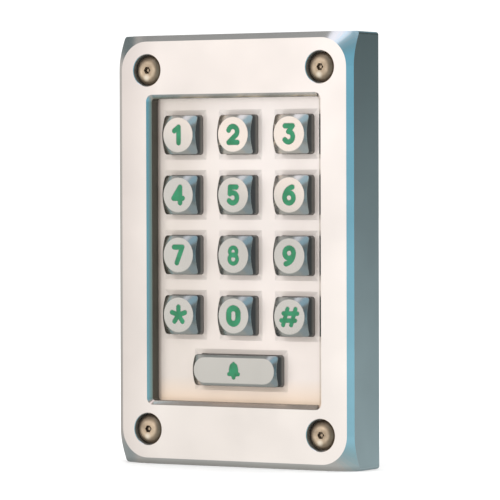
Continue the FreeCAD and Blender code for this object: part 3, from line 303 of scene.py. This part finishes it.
def screw_metal():
    """Stainless screws gone dull and brown, with faint turned rings, painted light and shade in rings about
    the middle, painted shade on the upper left and the sides, and a painted highlight low on the head.
    """
    look = Finish("screw_metal")
    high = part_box("security_screws")[1]
    head_radius = 4.2 * MM
    part = look.add("ShaderNodeSeparateXYZ", {"Vector": look.place}).outputs
    across = look.math("SUBTRACT", part[0], look.math("MULTIPLY", look.math("SIGN", part[0]),
                                                      high.x - head_radius))
    up = look.math("SUBTRACT", part[2], look.math("MULTIPLY", look.math("SIGN", part[2]),
                                                  high.z - head_radius))
    radius = look.distance(across, up)
    highlight_spot = look.distance(look.math("ADD", across, 0.3 * MM), look.math("ADD", up, 2.1 * MM))
    shaded_side = look.spread(look.math("SUBTRACT", up, across), 1.4 * MM, 4.6 * MM, 0.0, 0.65)
    rings = look.math("SINE", look.math("MULTIPLY", radius, 2 * math.pi / (0.16 * MM)))
    stain = look.noise(420, 3)
    worn = look.edges(0.25 * MM)
    # Painted light and shade in rings: a dark socket, a painted highlight on the land, a darker crown.
    zone = look.ramp(look.math("DIVIDE", radius, head_radius), [
        (0.0, (0.46, 0.355, 0.245)), (0.28, (0.56, 0.44, 0.31)), (0.50, (0.70, 0.57, 0.42)),
        (0.66, (0.40, 0.31, 0.22)), (1.0, (0.26, 0.20, 0.145))])
    body = look.mix(look.spread(stain, 0.35, 0.65, 0.0, 0.45), zone, (0.20, 0.15, 0.10))
    # Painted shade: darker towards the upper left of each head.
    body = look.mix(shaded_side, body, (0.10, 0.075, 0.055))
    body = look.mix(look.math("MULTIPLY", worn, 0.25), body, (0.60, 0.54, 0.46))
    # Painted highlight: a pale spot low on each head.
    body = look.mix(look.spread(highlight_spot, 1.2 * MM, 0.3 * MM, 0.0, 0.85), body, (0.80, 0.73, 0.61))
    # Painted shade on the sides of the heads.
    body = look.mix(look.math("MULTIPLY", look.walls(), 0.7), body, (0.115, 0.080, 0.055))
    rough = look.spread(stain, 0.3, 0.7, 0.32, 0.44)
    height = look.math("ADD", look.math("MULTIPLY", rings, 0.5), look.noise(6000, 2))
    return look.finish({"Base Color": body, "Metallic": 0.8, "Roughness": rough,
                        "Normal": look.bump(height, 0.003 * MM)})


def sheet_steel():
    """Zinc-plated sheet: rolling streaks, pale spangle and a few dull patches."""
    look = Finish("sheet_steel")
    streaks = look.noise(60, 4, (60, 1, 1))
    spangle = look.add("ShaderNodeTexVoronoi", {"Vector": look.place, "Scale": 260}).outputs["Color"]
    shade = look.add("ShaderNodeSeparateColor", {"Color": spangle}).outputs[0]
    worn = look.edges(0.3 * MM)
    body = look.mix(look.spread(shade, 0, 1, 0.0, 0.55), (0.52, 0.53, 0.55), (0.66, 0.67, 0.68))
    body = look.mix(look.math("MULTIPLY", worn, 0.6), body, (0.78, 0.78, 0.78))
    rough = look.spread(look.math("ADD", streaks, look.math("MULTIPLY", shade, 0.4)), 0.3, 1.1, 0.30, 0.48)
    return look.finish({"Base Color": body, "Metallic": 1.0, "Roughness": rough,
                        "Normal": look.bump(streaks, 0.006 * MM)})


def turned_metal(name, colour, roughness):
    """Small turned or stamped metal parts with a fine machined grain."""
    look = Finish(name)
    grain = look.noise(900, 3, (1, 12, 1))
    worn = look.edges(0.2 * MM)
    dull = tuple(0.80 * part for part in colour)
    body = look.mix(look.spread(grain, 0.35, 0.65), dull, colour)
    body = look.mix(look.math("MULTIPLY", worn, 0.5), body, tuple(min(1, 1.15 * part) for part in colour))
    rough = look.spread(grain, 0.3, 0.7, roughness - 0.06, roughness + 0.08)
    return look.finish({"Base Color": body, "Metallic": 1.0, "Roughness": rough,
                        "Normal": look.bump(grain, 0.004 * MM)})


# ---------------------------------------------------------------- plastics and rubbers

def moulded(name, colour, roughness, coat=0.0):
    """Moulded plastic or rubber: fine spark-eroded grain, faint clouding, dust in the corners."""
    look = Finish(name)
    clouds = look.noise(120, 3)
    grit = look.noise(7000, 2)
    dust = look.hollows(1.0 * MM)
    dark = tuple(0.8 * part for part in colour)
    body = look.mix(look.spread(clouds, 0.3, 0.7), dark, colour)
    body = look.mix(look.math("MULTIPLY", dust, 0.15), body, (0.30, 0.29, 0.27))
    rough = look.spread(clouds, 0.3, 0.7, roughness - 0.06, roughness + 0.06)
    return look.finish({"Base Color": body, "Roughness": rough, "Coat Weight": coat,
                        "Normal": look.bump(grit, 0.01 * MM)})


def green_resin():
    """Green translucent resin with a faint painted glow standing in for the backlight: an even glow with
    darker flecks and a soft surface.
    """
    look = Finish("green_resin")
    flecks = look.noise(1800, 3)
    clouds = look.noise(350, 2)
    body = look.mix(look.spread(clouds, 0.3, 0.7), (0.009, 0.160, 0.064), (0.016, 0.235, 0.106))
    # Painted light: a faint glow standing in for the backlight.
    glow = look.spread(flecks, 0.3, 0.7, 0.05, 0.12)
    return look.finish({"Base Color": body, "Roughness": look.spread(flecks, 0.3, 0.7, 0.35, 0.5),
                        "Subsurface Weight": 0.25, "Subsurface Radius": (0.1, 0.6, 0.3),
                        "Subsurface Scale": 0.5 * MM, "Emission Color": body, "Emission Strength": glow,
                        "Normal": look.bump(flecks, 0.01 * MM)})


def milky_silicone():
    """Milky silicone rubber: soft, slightly see-through and a little tacky."""
    look = Finish("milky_silicone")
    clouds = look.noise(150, 3)
    body = look.mix(look.spread(clouds, 0.3, 0.7), (0.60, 0.63, 0.62), (0.72, 0.74, 0.72))
    return look.finish({"Base Color": body, "Roughness": look.spread(clouds, 0.3, 0.7, 0.45, 0.6),
                        "Subsurface Weight": 0.4, "Subsurface Radius": (1.0, 0.9, 0.8),
                        "Subsurface Scale": 1.0 * MM, "Normal": look.bump(look.noise(3000, 2), 0.01 * MM)})


def board_laminate():
    """Green solder resist over copper tracks, with the glass weave faintly showing."""
    look = Finish("board_laminate")
    part = look.add("ShaderNodeSeparateXYZ", {"Vector": look.place}).outputs
    across = look.add("ShaderNodeCombineXYZ", {"X": part[0], "Y": part[2]}).outputs[0]
    tracks = look.add("ShaderNodeTexBrick", {
        "Vector": across, "Scale": 1.0, "Mortar Size": 0.18 * MM, "Brick Width": 7.3 * MM,
        "Row Height": 1.27 * MM}).outputs["Fac"]
    threads = 2 * math.pi / (0.6 * MM)
    weave = look.math("MULTIPLY", look.math("SINE", look.math("MULTIPLY", part[0], threads)),
                      look.math("SINE", look.math("MULTIPLY", part[2], threads)))
    clouds = look.noise(80, 2)
    body = look.mix(look.spread(clouds, 0.3, 0.7), (0.010, 0.095, 0.045), (0.016, 0.135, 0.060))
    body = look.mix(look.math("MULTIPLY", tracks, 0.55), body, (0.060, 0.270, 0.110))
    height = look.math("ADD", look.math("MULTIPLY", tracks, 0.8), look.math("MULTIPLY", weave, 0.1))
    return look.finish({"Base Color": body, "Roughness": look.spread(clouds, 0.3, 0.7, 0.22, 0.34),
                        "Coat Weight": 0.4, "Normal": look.bump(height, 0.02 * MM)})


# Red, black, green, white, orange, blue, yellow and brown.
WIRE_COLOURS = ((0.45, 0.02, 0.02), (0.02, 0.02, 0.02), (0.02, 0.22, 0.05), (0.62, 0.60, 0.55),
                (0.50, 0.20, 0.02), (0.03, 0.08, 0.40), (0.60, 0.45, 0.03), (0.18, 0.07, 0.03))


def wire_insulation():
    """Eight wires, each its own colour by its direction from the cable's axis."""
    look = Finish("wire_insulation")
    low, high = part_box("cable_conductors")
    centre = (low + high) / 2
    part = look.add("ShaderNodeSeparateXYZ", {"Vector": look.place}).outputs
    across = look.math("SUBTRACT", part[0], centre.x)
    up = look.math("SUBTRACT", part[2], centre.z)
    turn = look.math("DIVIDE", look.math("ARCTAN2", up, across), 2 * math.pi)
    share = look.math("FRACT", look.math("ADD", turn, 1 + 0.5 / len(WIRE_COLOURS)))
    stops = [(index / len(WIRE_COLOURS), colour) for index, colour in enumerate(WIRE_COLOURS)]
    body = look.ramp(share, stops, "CONSTANT")
    clouds = look.noise(400, 2)
    body = look.mix(look.spread(clouds, 0.3, 0.7, 0.0, 0.25), body, (0.05, 0.05, 0.05), "MULTIPLY")
    return look.finish({"Base Color": body, "Roughness": look.spread(clouds, 0.3, 0.7, 0.32, 0.45),
                        "Normal": look.bump(look.noise(2500, 2), 0.01 * MM)})


def carbon_rubber():
    """Dull carbon-filled rubber for the switch tips."""
    look = Finish("carbon_rubber")
    grit = look.noise(4000, 3)
    body = look.mix(look.spread(grit, 0.3, 0.7), (0.018, 0.018, 0.019), (0.040, 0.040, 0.042))
    return look.finish({"Base Color": body, "Roughness": look.spread(grit, 0.3, 0.7, 0.55, 0.75),
                        "Normal": look.bump(grit, 0.015 * MM)})


# ---------------------------------------------------------------- building pieces

def add_piece(name, mesh, material, body="housing"):
    """Put a finished mesh on a body as a piece of the object."""
    mesh.name = name
    mesh.materials.clear()
    mesh.materials.append(material)
    mesh.shade_smooth()
    mesh.set_sharp_from_angle(angle=math.radians(38))
    piece = bpy.data.objects.new(name, mesh)
    bpy.context.scene.collection.objects.link(piece)
    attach(piece, body)
    return piece


def lathe(profile, spots, segments=32):
    """Turn a closed profile of (radius, depth) points about axes that face the front.

    Each spot is where an axis meets the wall, and depth is the distance in front of the wall.
    """
    shape = bmesh.new()
    for x, z in spots:
        rings = []
        for radius, depth in profile:
            if radius == 0:
                rings.append([shape.verts.new((x, -depth, z))])
                continue
            turns = [2 * math.pi * index / segments for index in range(segments)]
            rings.append([shape.verts.new((x + radius * math.cos(turn), -depth, z + radius * math.sin(turn)))
                          for turn in turns])
        for first, second in zip(rings, rings[1:]):
            for index in range(segments):
                following = (index + 1) % segments
                corners = [first[index % len(first)], first[following % len(first)],
                           second[following % len(second)], second[index % len(second)]]
                shape.faces.new(list(dict.fromkeys(corners)))
    bmesh.ops.recalc_face_normals(shape, faces=shape.faces)
    mesh = bpy.data.meshes.new("turned")
    shape.to_mesh(mesh)
    shape.free()
    return mesh


def blocks(spots, size, rounding):
    """Make rounded blocks of one size, each centred on its spot."""
    shape = bmesh.new()
    for spot in spots:
        made = bmesh.ops.create_cube(shape, size=1.0)["verts"]
        for corner in made:
            corner.co = Vector(spot) + Vector([part * side for part, side in zip(corner.co, size)])
        edges = {edge for corner in made for edge in corner.link_edges}
        bmesh.ops.bevel(shape, geom=list(edges), offset=rounding, segments=2, affect="EDGES", profile=0.6)
    mesh = bpy.data.meshes.new("blocks")
    shape.to_mesh(mesh)
    shape.free()
    return mesh


def loop_points(width, height, radius):
    """List the points of a rectangle with round corners about the origin."""
    count = 8
    points = []
    corners = ((1, 1), (-1, 1), (-1, -1), (1, -1))
    for index, (side_x, side_z) in enumerate(corners):
        for step in range(count + 1):
            turn = math.pi / 2 * (index + step / count)
            points.append((side_x * (width / 2 - radius) + radius * math.cos(turn),
                           side_z * (height / 2 - radius) + radius * math.sin(turn)))
    return points


def pierced_sheet(outline, holes, back, front, rounding):
    """Make a flat sheet with soft edges and round holes; each hole is x, z and radius."""
    curve = bpy.data.curves.new("sheet", "CURVE")
    curve.dimensions = "2D"
    curve.fill_mode = "BOTH"
    curve.extrude = (front - back) / 2 - rounding
    curve.bevel_depth = rounding
    curve.bevel_resolution = 2
    curve.offset = -rounding
    loops = [outline]
    for x, z, radius in holes:
        turns = [2 * math.pi * index / 28 for index in range(28)]
        loops.append([(x + radius * math.cos(turn), z + radius * math.sin(turn)) for turn in turns])
    for points in loops:
        spline = curve.splines.new("POLY")
        spline.points.add(len(points) - 1)
        spline.use_cyclic_u = True
        for point, (x, z) in zip(spline.points, points):
            point.co = (x, z, 0, 1)
    flat = bpy.data.objects.new("sheet", curve)
    mesh = bpy.data.meshes.new_from_object(flat)
    bpy.data.objects.remove(flat)
    mesh.transform(Matrix.Translation((0, -(back + front) / 2, 0)) @ Matrix.Rotation(math.pi / 2, 4, "X"))
    return mesh


# ---------------------------------------------------------------- switch mat

BELL_DOME_SPREAD = 8 * MM
MAT_THICKNESS = 0.8 * MM
DOME_WALL = 0.75 * MM
DOME_WELL_RADIUS = 3.2 * MM
LIGHT_WINDOW_RADIUS = 1.2 * MM


def key_spots(key):
    """List where the switch domes stand under a key."""
    low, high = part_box("key_" + key)
    middle = (low + high) / 2
    if high.x - low.x > 20 * MM:
        return [(middle.x - BELL_DOME_SPREAD, middle.z), (middle.x + BELL_DOME_SPREAD, middle.z)]
    return [(middle.x, middle.z)]


def add_switch_mat():
    """Replace the mat: a rubber sheet, a dome under each key, and a carbon tip in each."""
    board_front = -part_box("circuit_board")[0].y
    sheet_front = board_front + MAT_THICKNESS
    dome_front = -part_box("silicone_mat")[0].y
    low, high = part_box("silicone_mat")
    lights = [(light.x, light.z, LIGHT_WINDOW_RADIUS) for light in light_spots()]
    wells = [(x, z, DOME_WELL_RADIUS) for key in KEYS for x, z in key_spots(key)]
    outline = loop_points(high.x - low.x, high.z - low.z, 2 * MM)
    rubber = milky_silicone()
    flat = pierced_sheet(outline, lights + wells, board_front, sheet_front, 0.15 * MM)
    sheet = add_piece("mat_sheet", flat, rubber)
    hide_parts("silicone_mat")
    ceiling = dome_front - DOME_WALL
    dome = [(0, dome_front), (2.75 * MM, dome_front), (2.98 * MM, dome_front - 0.10 * MM),
            (3.12 * MM, dome_front - 0.32 * MM), (3.72 * MM, sheet_front + 0.42 * MM),
            (3.95 * MM, sheet_front + 0.16 * MM), (4.25 * MM, sheet_front), (3.25 * MM, sheet_front),
            (3.16 * MM, sheet_front + 0.18 * MM), (2.62 * MM, ceiling - 0.16 * MM),
            (2.40 * MM, ceiling), (0, ceiling)]
    tip_back = sheet_front + 0.12 * MM
    tip_front = ceiling - 0.01 * MM
    tip = [(0, tip_back), (1.30 * MM, tip_back), (1.46 * MM, tip_back + 0.05 * MM),
           (1.50 * MM, tip_back + 0.20 * MM), (1.50 * MM, tip_front - 0.05 * MM), (1.44 * MM, tip_front),
           (0, tip_front)]
    carbon = carbon_rubber()
    for key in KEYS:
        spots = key_spots(key)
        folding = add_piece("mat_dome_" + key, lathe(dome, spots), rubber)
        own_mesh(folding)
        add_piece("switch_tip_" + key, lathe(tip, spots), carbon, "button_" + key)


def light_spots():
    """Find the middles of the backlights: two columns between the keys, and one each side of the bell."""
    middles = {key: (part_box("key_" + key)[0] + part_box("key_" + key)[1]) / 2 for key in KEYS}
    across = (middles["2"].x + middles["3"].x) / 2
    spots = [Vector((side * across, 0, middles[key].z)) for key in ("2", "5", "8", "0") for side in (-1, 1)]
    outer = 2 * BELL_DOME_SPREAD
    return spots + [Vector((side * outer, 0, middles["bell"].z)) for side in (-1, 1)]


# ---------------------------------------------------------------- board details and wire ends

# Each chip, the leads on each side of it and its height in millimetres.
CHIP_LEADS = (("controller_chip", 8, 9.0), ("interface_chip", 4, 4.9), ("voltage_regulator", 3, 6.5))


def add_solder():
    """Run a fillet of solder up every chip lead."""
    board_back = -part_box("circuit_board")[1].y
    spots = []
    for chip, leads, height in CHIP_LEADS:
        low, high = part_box(chip)
        middle = (low.z + high.z) / 2
        for x in (low.x, high.x):
            for index in range(leads):
                spots.append((x, middle + (index - (leads - 1) / 2) * height * MM / leads))
    fillet = [(0, board_back), (0.36 * MM, board_back), (0.30 * MM, board_back - 0.05 * MM),
              (0.20 * MM, board_back - 0.13 * MM), (0.10 * MM, board_back - 0.24 * MM),
              (0, board_back - 0.26 * MM)]
    add_piece("solder_fillets", lathe(fillet, spots, 16), turned_metal("solder", (0.66, 0.66, 0.65), 0.24))


def add_resistors():
    """Set two columns of chip resistors down the middle of the board's rear."""
    board_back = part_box("circuit_board")[1].y
    pitch, rows, lift = 3 * MM, 10, 0.23 * MM
    spots = [Vector((side * pitch, board_back + lift, row * pitch))
             for side in (-1, 1) for row in range(rows)]
    body = blocks(spots, (1.2 * MM, 0.42 * MM, 0.8 * MM), 0.04 * MM)
    add_piece("resistor_bodies", body, moulded("resistor_glaze", (0.030, 0.030, 0.034), 0.30))
    ends = [spot + Vector((side * 0.72 * MM, 0, 0)) for spot in spots for side in (-1, 1)]
    caps = blocks(ends, (0.36 * MM, 0.46 * MM, 0.84 * MM), 0.06 * MM)
    add_piece("resistor_caps", caps, turned_metal("tinned_end", (0.70, 0.70, 0.69), 0.22))


def add_wire_cores():
    """Show the bare copper in the cut end of each wire."""
    low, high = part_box("cable_conductors")
    middle = (low + high) / 2
    wire_radius, core_radius, core_depth = 0.5 * MM, 0.26 * MM, -0.4 * MM
    flare = math.radians(28)
    reach = high.x - middle.x - wire_radius * math.cos(flare)
    end = high.y - wire_radius * math.sin(flare)
    core = [(0, core_depth), (core_radius, core_depth), (core_radius, 0.06 * MM),
            (0.7 * core_radius, 0.11 * MM), (0, 0.12 * MM)]
    axis = Matrix.Translation((middle.x, 0, middle.z))
    whole = bmesh.new()
    for index in range(len(WIRE_COLOURS)):
        mesh = lathe([(radius, -depth) for radius, depth in core], [(0, 0)], 16)
        mesh.transform(Matrix.Rotation(-flare, 4, "Z"))
        mesh.transform(Matrix.Translation((reach, end, 0)))
        mesh.transform(axis @ Matrix.Rotation(2 * math.pi / len(WIRE_COLOURS) * index, 4, "Y"))
        whole.from_mesh(mesh)
        bpy.data.meshes.remove(mesh)
    mesh = bpy.data.meshes.new("cores")
    whole.to_mesh(mesh)
    whole.free()
    add_piece("wire_cores", mesh, turned_metal("bare_copper", (0.80, 0.40, 0.22), 0.30))


# ---------------------------------------------------------------- painting the CAD nodes

paint(housing_metal(), "front_housing")
paint(panel_metal(), "keypad_panel")
paint(key_metal(), *["key_" + key for key in KEYS])
paint(green_resin(), *["legend_" + key for key in KEYS])
paint(screw_metal(), "security_screws")
paint(sheet_steel(), "back_plate")
paint(turned_metal("brass", (0.72, 0.54, 0.25), 0.28), "screw_inserts", "board_standoffs", "piezo_sounder")
paint(turned_metal("bright_zinc", (0.74, 0.74, 0.72), 0.25), "board_screws", "clock_crystal")
paint(turned_metal("gold_flash", (0.90, 0.68, 0.28), 0.22), "contact_pads")
paint(moulded("black_rubber", (0.030, 0.030, 0.032), 0.62), "panel_seal", "wall_seal", "screw_seals",
      "cable_grommet")
paint(board_laminate(), "circuit_board")
paint(moulded("chip_epoxy", (0.022, 0.022, 0.024), 0.50), "controller_chip", "interface_chip",
      "voltage_regulator")
paint(moulded("capacitor_case", (0.48, 0.27, 0.06), 0.42), "smoothing_capacitors")
paint(moulded("led_resin", (0.82, 0.80, 0.66), 0.25, coat=0.5), "backlight_leds")
paint(moulded("switch_plastic", (0.035, 0.035, 0.038), 0.40), "tamper_switch")
paint(moulded("natural_nylon", (0.70, 0.67, 0.58), 0.42), "tamper_plunger")
paint(moulded("jacket_pvc", (0.16, 0.16, 0.165), 0.48), "cable_jacket")
paint(wire_insulation(), "cable_conductors")
add_switch_mat()
add_solder()
add_resistors()
add_wire_cores()


# ---------------------------------------------------------------- stage, light and camera

def direction(azimuth, elevation):
    """Point from the object: azimuth 0 is the front, positive to its right."""
    turn, rise = math.radians(azimuth), math.radians(elevation)
    return Vector((math.sin(turn) * math.cos(rise), -math.cos(turn) * math.cos(rise), math.sin(rise)))


def add_floor():
    """Lay a plain pale floor under the object; mirror-like metal looks through it to the studio."""
    size = 6.0
    height = cad_bounds[0][2] - 0.05 * MM
    mesh = bpy.data.meshes.new("floor")
    corners = [(-size, -size, height), (size, -size, height), (size, size, height), (-size, size, height)]
    mesh.from_pydata(corners, [], [(0, 1, 2, 3)])
    floor = bpy.data.objects.new("floor", mesh)
    bpy.context.scene.collection.objects.link(floor)
    look = Finish("pale_floor")
    clouds = look.noise(3, 2)
    body = look.mix(look.spread(clouds, 0.3, 0.7), (0.93, 0.93, 0.93), (0.95, 0.95, 0.95))
    matt = look.add("ShaderNodeBsdfDiffuse", {"Color": body}).outputs[0]
    clear = look.add("ShaderNodeBsdfTransparent").outputs[0]
    mirrored = look.add("ShaderNodeLightPath").outputs["Is Glossy Ray"]
    surface = look.add("ShaderNodeMixShader", {0: mirrored, 1: matt, 2: clear}).outputs[0]
    look.add("ShaderNodeOutputMaterial", {"Surface": surface})
    mesh.materials.append(look.material)


# What the metal mirrors round the object: azimuth in degrees, then the light just above eye level
# and the light just below it. Warm white on the left, dark behind the camera, cool on the right.
STUDIO = (
    (-180, (0.12, 0.16, 0.17), (0.30, 0.36, 0.39)),
    (-122, (0.66, 0.66, 0.64), (0.50, 0.50, 0.49)),
    (-98, (0.70, 0.69, 0.66), (0.52, 0.51, 0.49)),
    (-70, (1.02, 0.97, 0.94), (0.80, 0.78, 0.74)),
    (-35, (1.28, 1.21, 1.18), (1.03, 1.00, 0.96)),
    (-8, (1.30, 1.23, 1.20), (1.06, 1.03, 0.99)),
    (12, (0.20, 0.22, 0.24), (0.22, 0.25, 0.27)),
    (30, (0.13, 0.17, 0.19), (0.17, 0.22, 0.24)),
    (37, (0.14, 0.24, 0.30), (0.19, 0.30, 0.36)),
    (43, (0.36, 0.50, 0.56), (0.50, 0.66, 0.73)),
    (50, (0.36, 0.50, 0.56), (0.50, 0.66, 0.73)),
    (60, (0.19, 0.27, 0.265), (0.24, 0.39, 0.41)),
    (90, (0.12, 0.16, 0.17), (0.20, 0.26, 0.28)),
    (138, (0.032, 0.060, 0.064), (0.34, 0.465, 0.505)),
    (160, (0.032, 0.060, 0.064), (0.34, 0.465, 0.505)),
)
STUDIO_TOP = (0.335, 0.35, 0.35)
STUDIO_BOTTOM = (0.475, 0.495, 0.485)
# Soft round patches over those bands: azimuth, elevation, inner and outer radius in degrees, light.
PATCHES = (
    (-100, 22, 8, 17, (0.14, 0.20, 0.215)),
    (-100, -22, 8, 17, (0.36, 0.42, 0.43)),
    (17, 44, 6, 13, (0.37, 0.58, 0.72)),
    (17, -43, 8, 16, (0.38, 0.46, 0.50)),
    (-1, 67, 12, 17, (1.00, 1.05, 1.18)),
    (-46, -26, 4, 10, (1.45, 1.36, 1.20)),
)
# How bright the white round the object is to the camera, and as light on matt surfaces.
SEEN_WHITE = 1.12
FELT_WHITE = 1.42


def add_world():
    """Surround the object with the studio: polished surfaces mirror it, the rest sees plain white."""
    world = bpy.data.worlds.new("studio")
    bpy.context.scene.world = world
    world.use_nodes = True
    look = Nodes(world.node_tree, "Generated")
    toward = look.add("ShaderNodeSeparateXYZ", {"Vector": look.place}).outputs
    turn = look.math("ARCTAN2", toward[0], look.math("MULTIPLY", toward[1], -1.0))
    share = look.spread(turn, -math.pi, math.pi)
    bands = []
    for band in (1, 2):
        stops = [((row[0] + 180) / 360, row[band]) for row in STUDIO]
        bands.append(look.ramp(share, stops + [(1.0, STUDIO[0][band])], "EASE"))
    above, below = bands
    colour = look.mix(look.spread(toward[2], -0.10, 0.05), below, above)
    colour = look.mix(look.spread(toward[2], 0.35, 0.80), colour, STUDIO_TOP)
    colour = look.mix(look.spread(toward[2], -0.30, -0.75), colour, STUDIO_BOTTOM)
    for azimuth, elevation, inner, outer, light in PATCHES:
        near = look.add("ShaderNodeVectorMath", {0: look.place, 1: direction(azimuth, elevation)},
                        operation="DOT_PRODUCT").outputs["Value"]
        reach = look.spread(near, math.cos(math.radians(outer)), math.cos(math.radians(inner)))
        colour = look.mix(reach, colour, light)
    studio = look.add("ShaderNodeBackground", {"Color": colour}).outputs[0]
    rays = look.add("ShaderNodeLightPath").outputs
    strength = look.spread(rays["Is Camera Ray"], 0, 1, FELT_WHITE, SEEN_WHITE)
    white = look.add("ShaderNodeBackground", {"Color": (1, 1, 1, 1), "Strength": strength}).outputs[0]
    seen = look.add("ShaderNodeMixShader", {0: rays["Is Glossy Ray"], 1: white, 2: studio}).outputs[0]
    look.add("ShaderNodeOutputWorld", {"Surface": seen})


def add_camera():
    """Stand the camera to the object's right, level with it, with a long lens."""
    azimuth, elevation, roll = 31.36, 1.064, math.radians(-0.167)
    distance = 1039.24 * MM
    target = Vector((0, -8 * MM, 0))
    back = direction(azimuth, elevation)
    right = direction(azimuth + 90, 0)
    up = back.cross(right)
    rolled_right = right * math.cos(roll) + up * math.sin(roll)
    rolled_up = back.cross(rolled_right)
    lens = bpy.data.cameras.new("camera")
    lens.sensor_width = 36.0
    lens.lens = 268.95
    lens.shift_x = 0.0088
    lens.shift_y = 0.0001
    camera = bpy.data.objects.new("camera", lens)
    camera.matrix_world = Matrix((
        (rolled_right.x, rolled_up.x, back.x, target.x + distance * back.x),
        (rolled_right.y, rolled_up.y, back.y, target.y + distance * back.y),
        (rolled_right.z, rolled_up.z, back.z, target.z + distance * back.z),
        (0, 0, 0, 1)))
    bpy.context.scene.collection.objects.link(camera)
    bpy.context.scene.camera = camera


add_floor()
add_world()
add_camera()
bpy.context.scene.view_settings.view_transform = "Standard"
